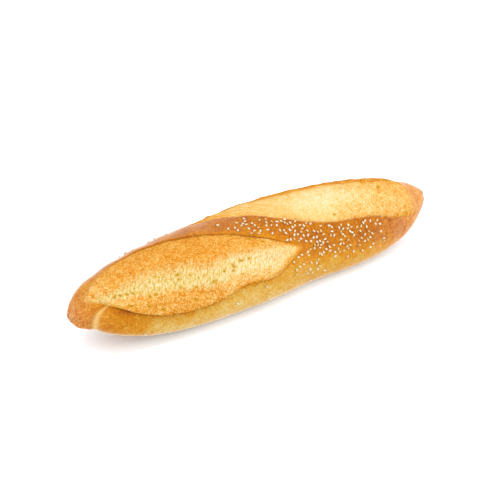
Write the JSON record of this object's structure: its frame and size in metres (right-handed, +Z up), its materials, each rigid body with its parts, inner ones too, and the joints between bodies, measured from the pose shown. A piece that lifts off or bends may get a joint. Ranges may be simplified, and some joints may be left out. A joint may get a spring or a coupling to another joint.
{
  "type": "semolina bread loaf",
  "caption": "Long oval semolina bread loaf with tapered ends, slanting slashes burst open on top, sesame seeds on the crust between them and a flat sole.",
  "frame": {"origin": "on the flat sole, under the middle of the loaf's box", "axes": "+X along the loaf, from the end with the front burst to the end with the back burst; -Y to the front, the side that the front burst opens towards; +Z up"},
  "size_m": [0.36, 0.0915, 0.072],
  "materials": {
    "crust": "satin",
    "sesame": "satin"
  },
  "bodies": {
    "root": {"loaf": "crust"}
  },
  "joints": []
}
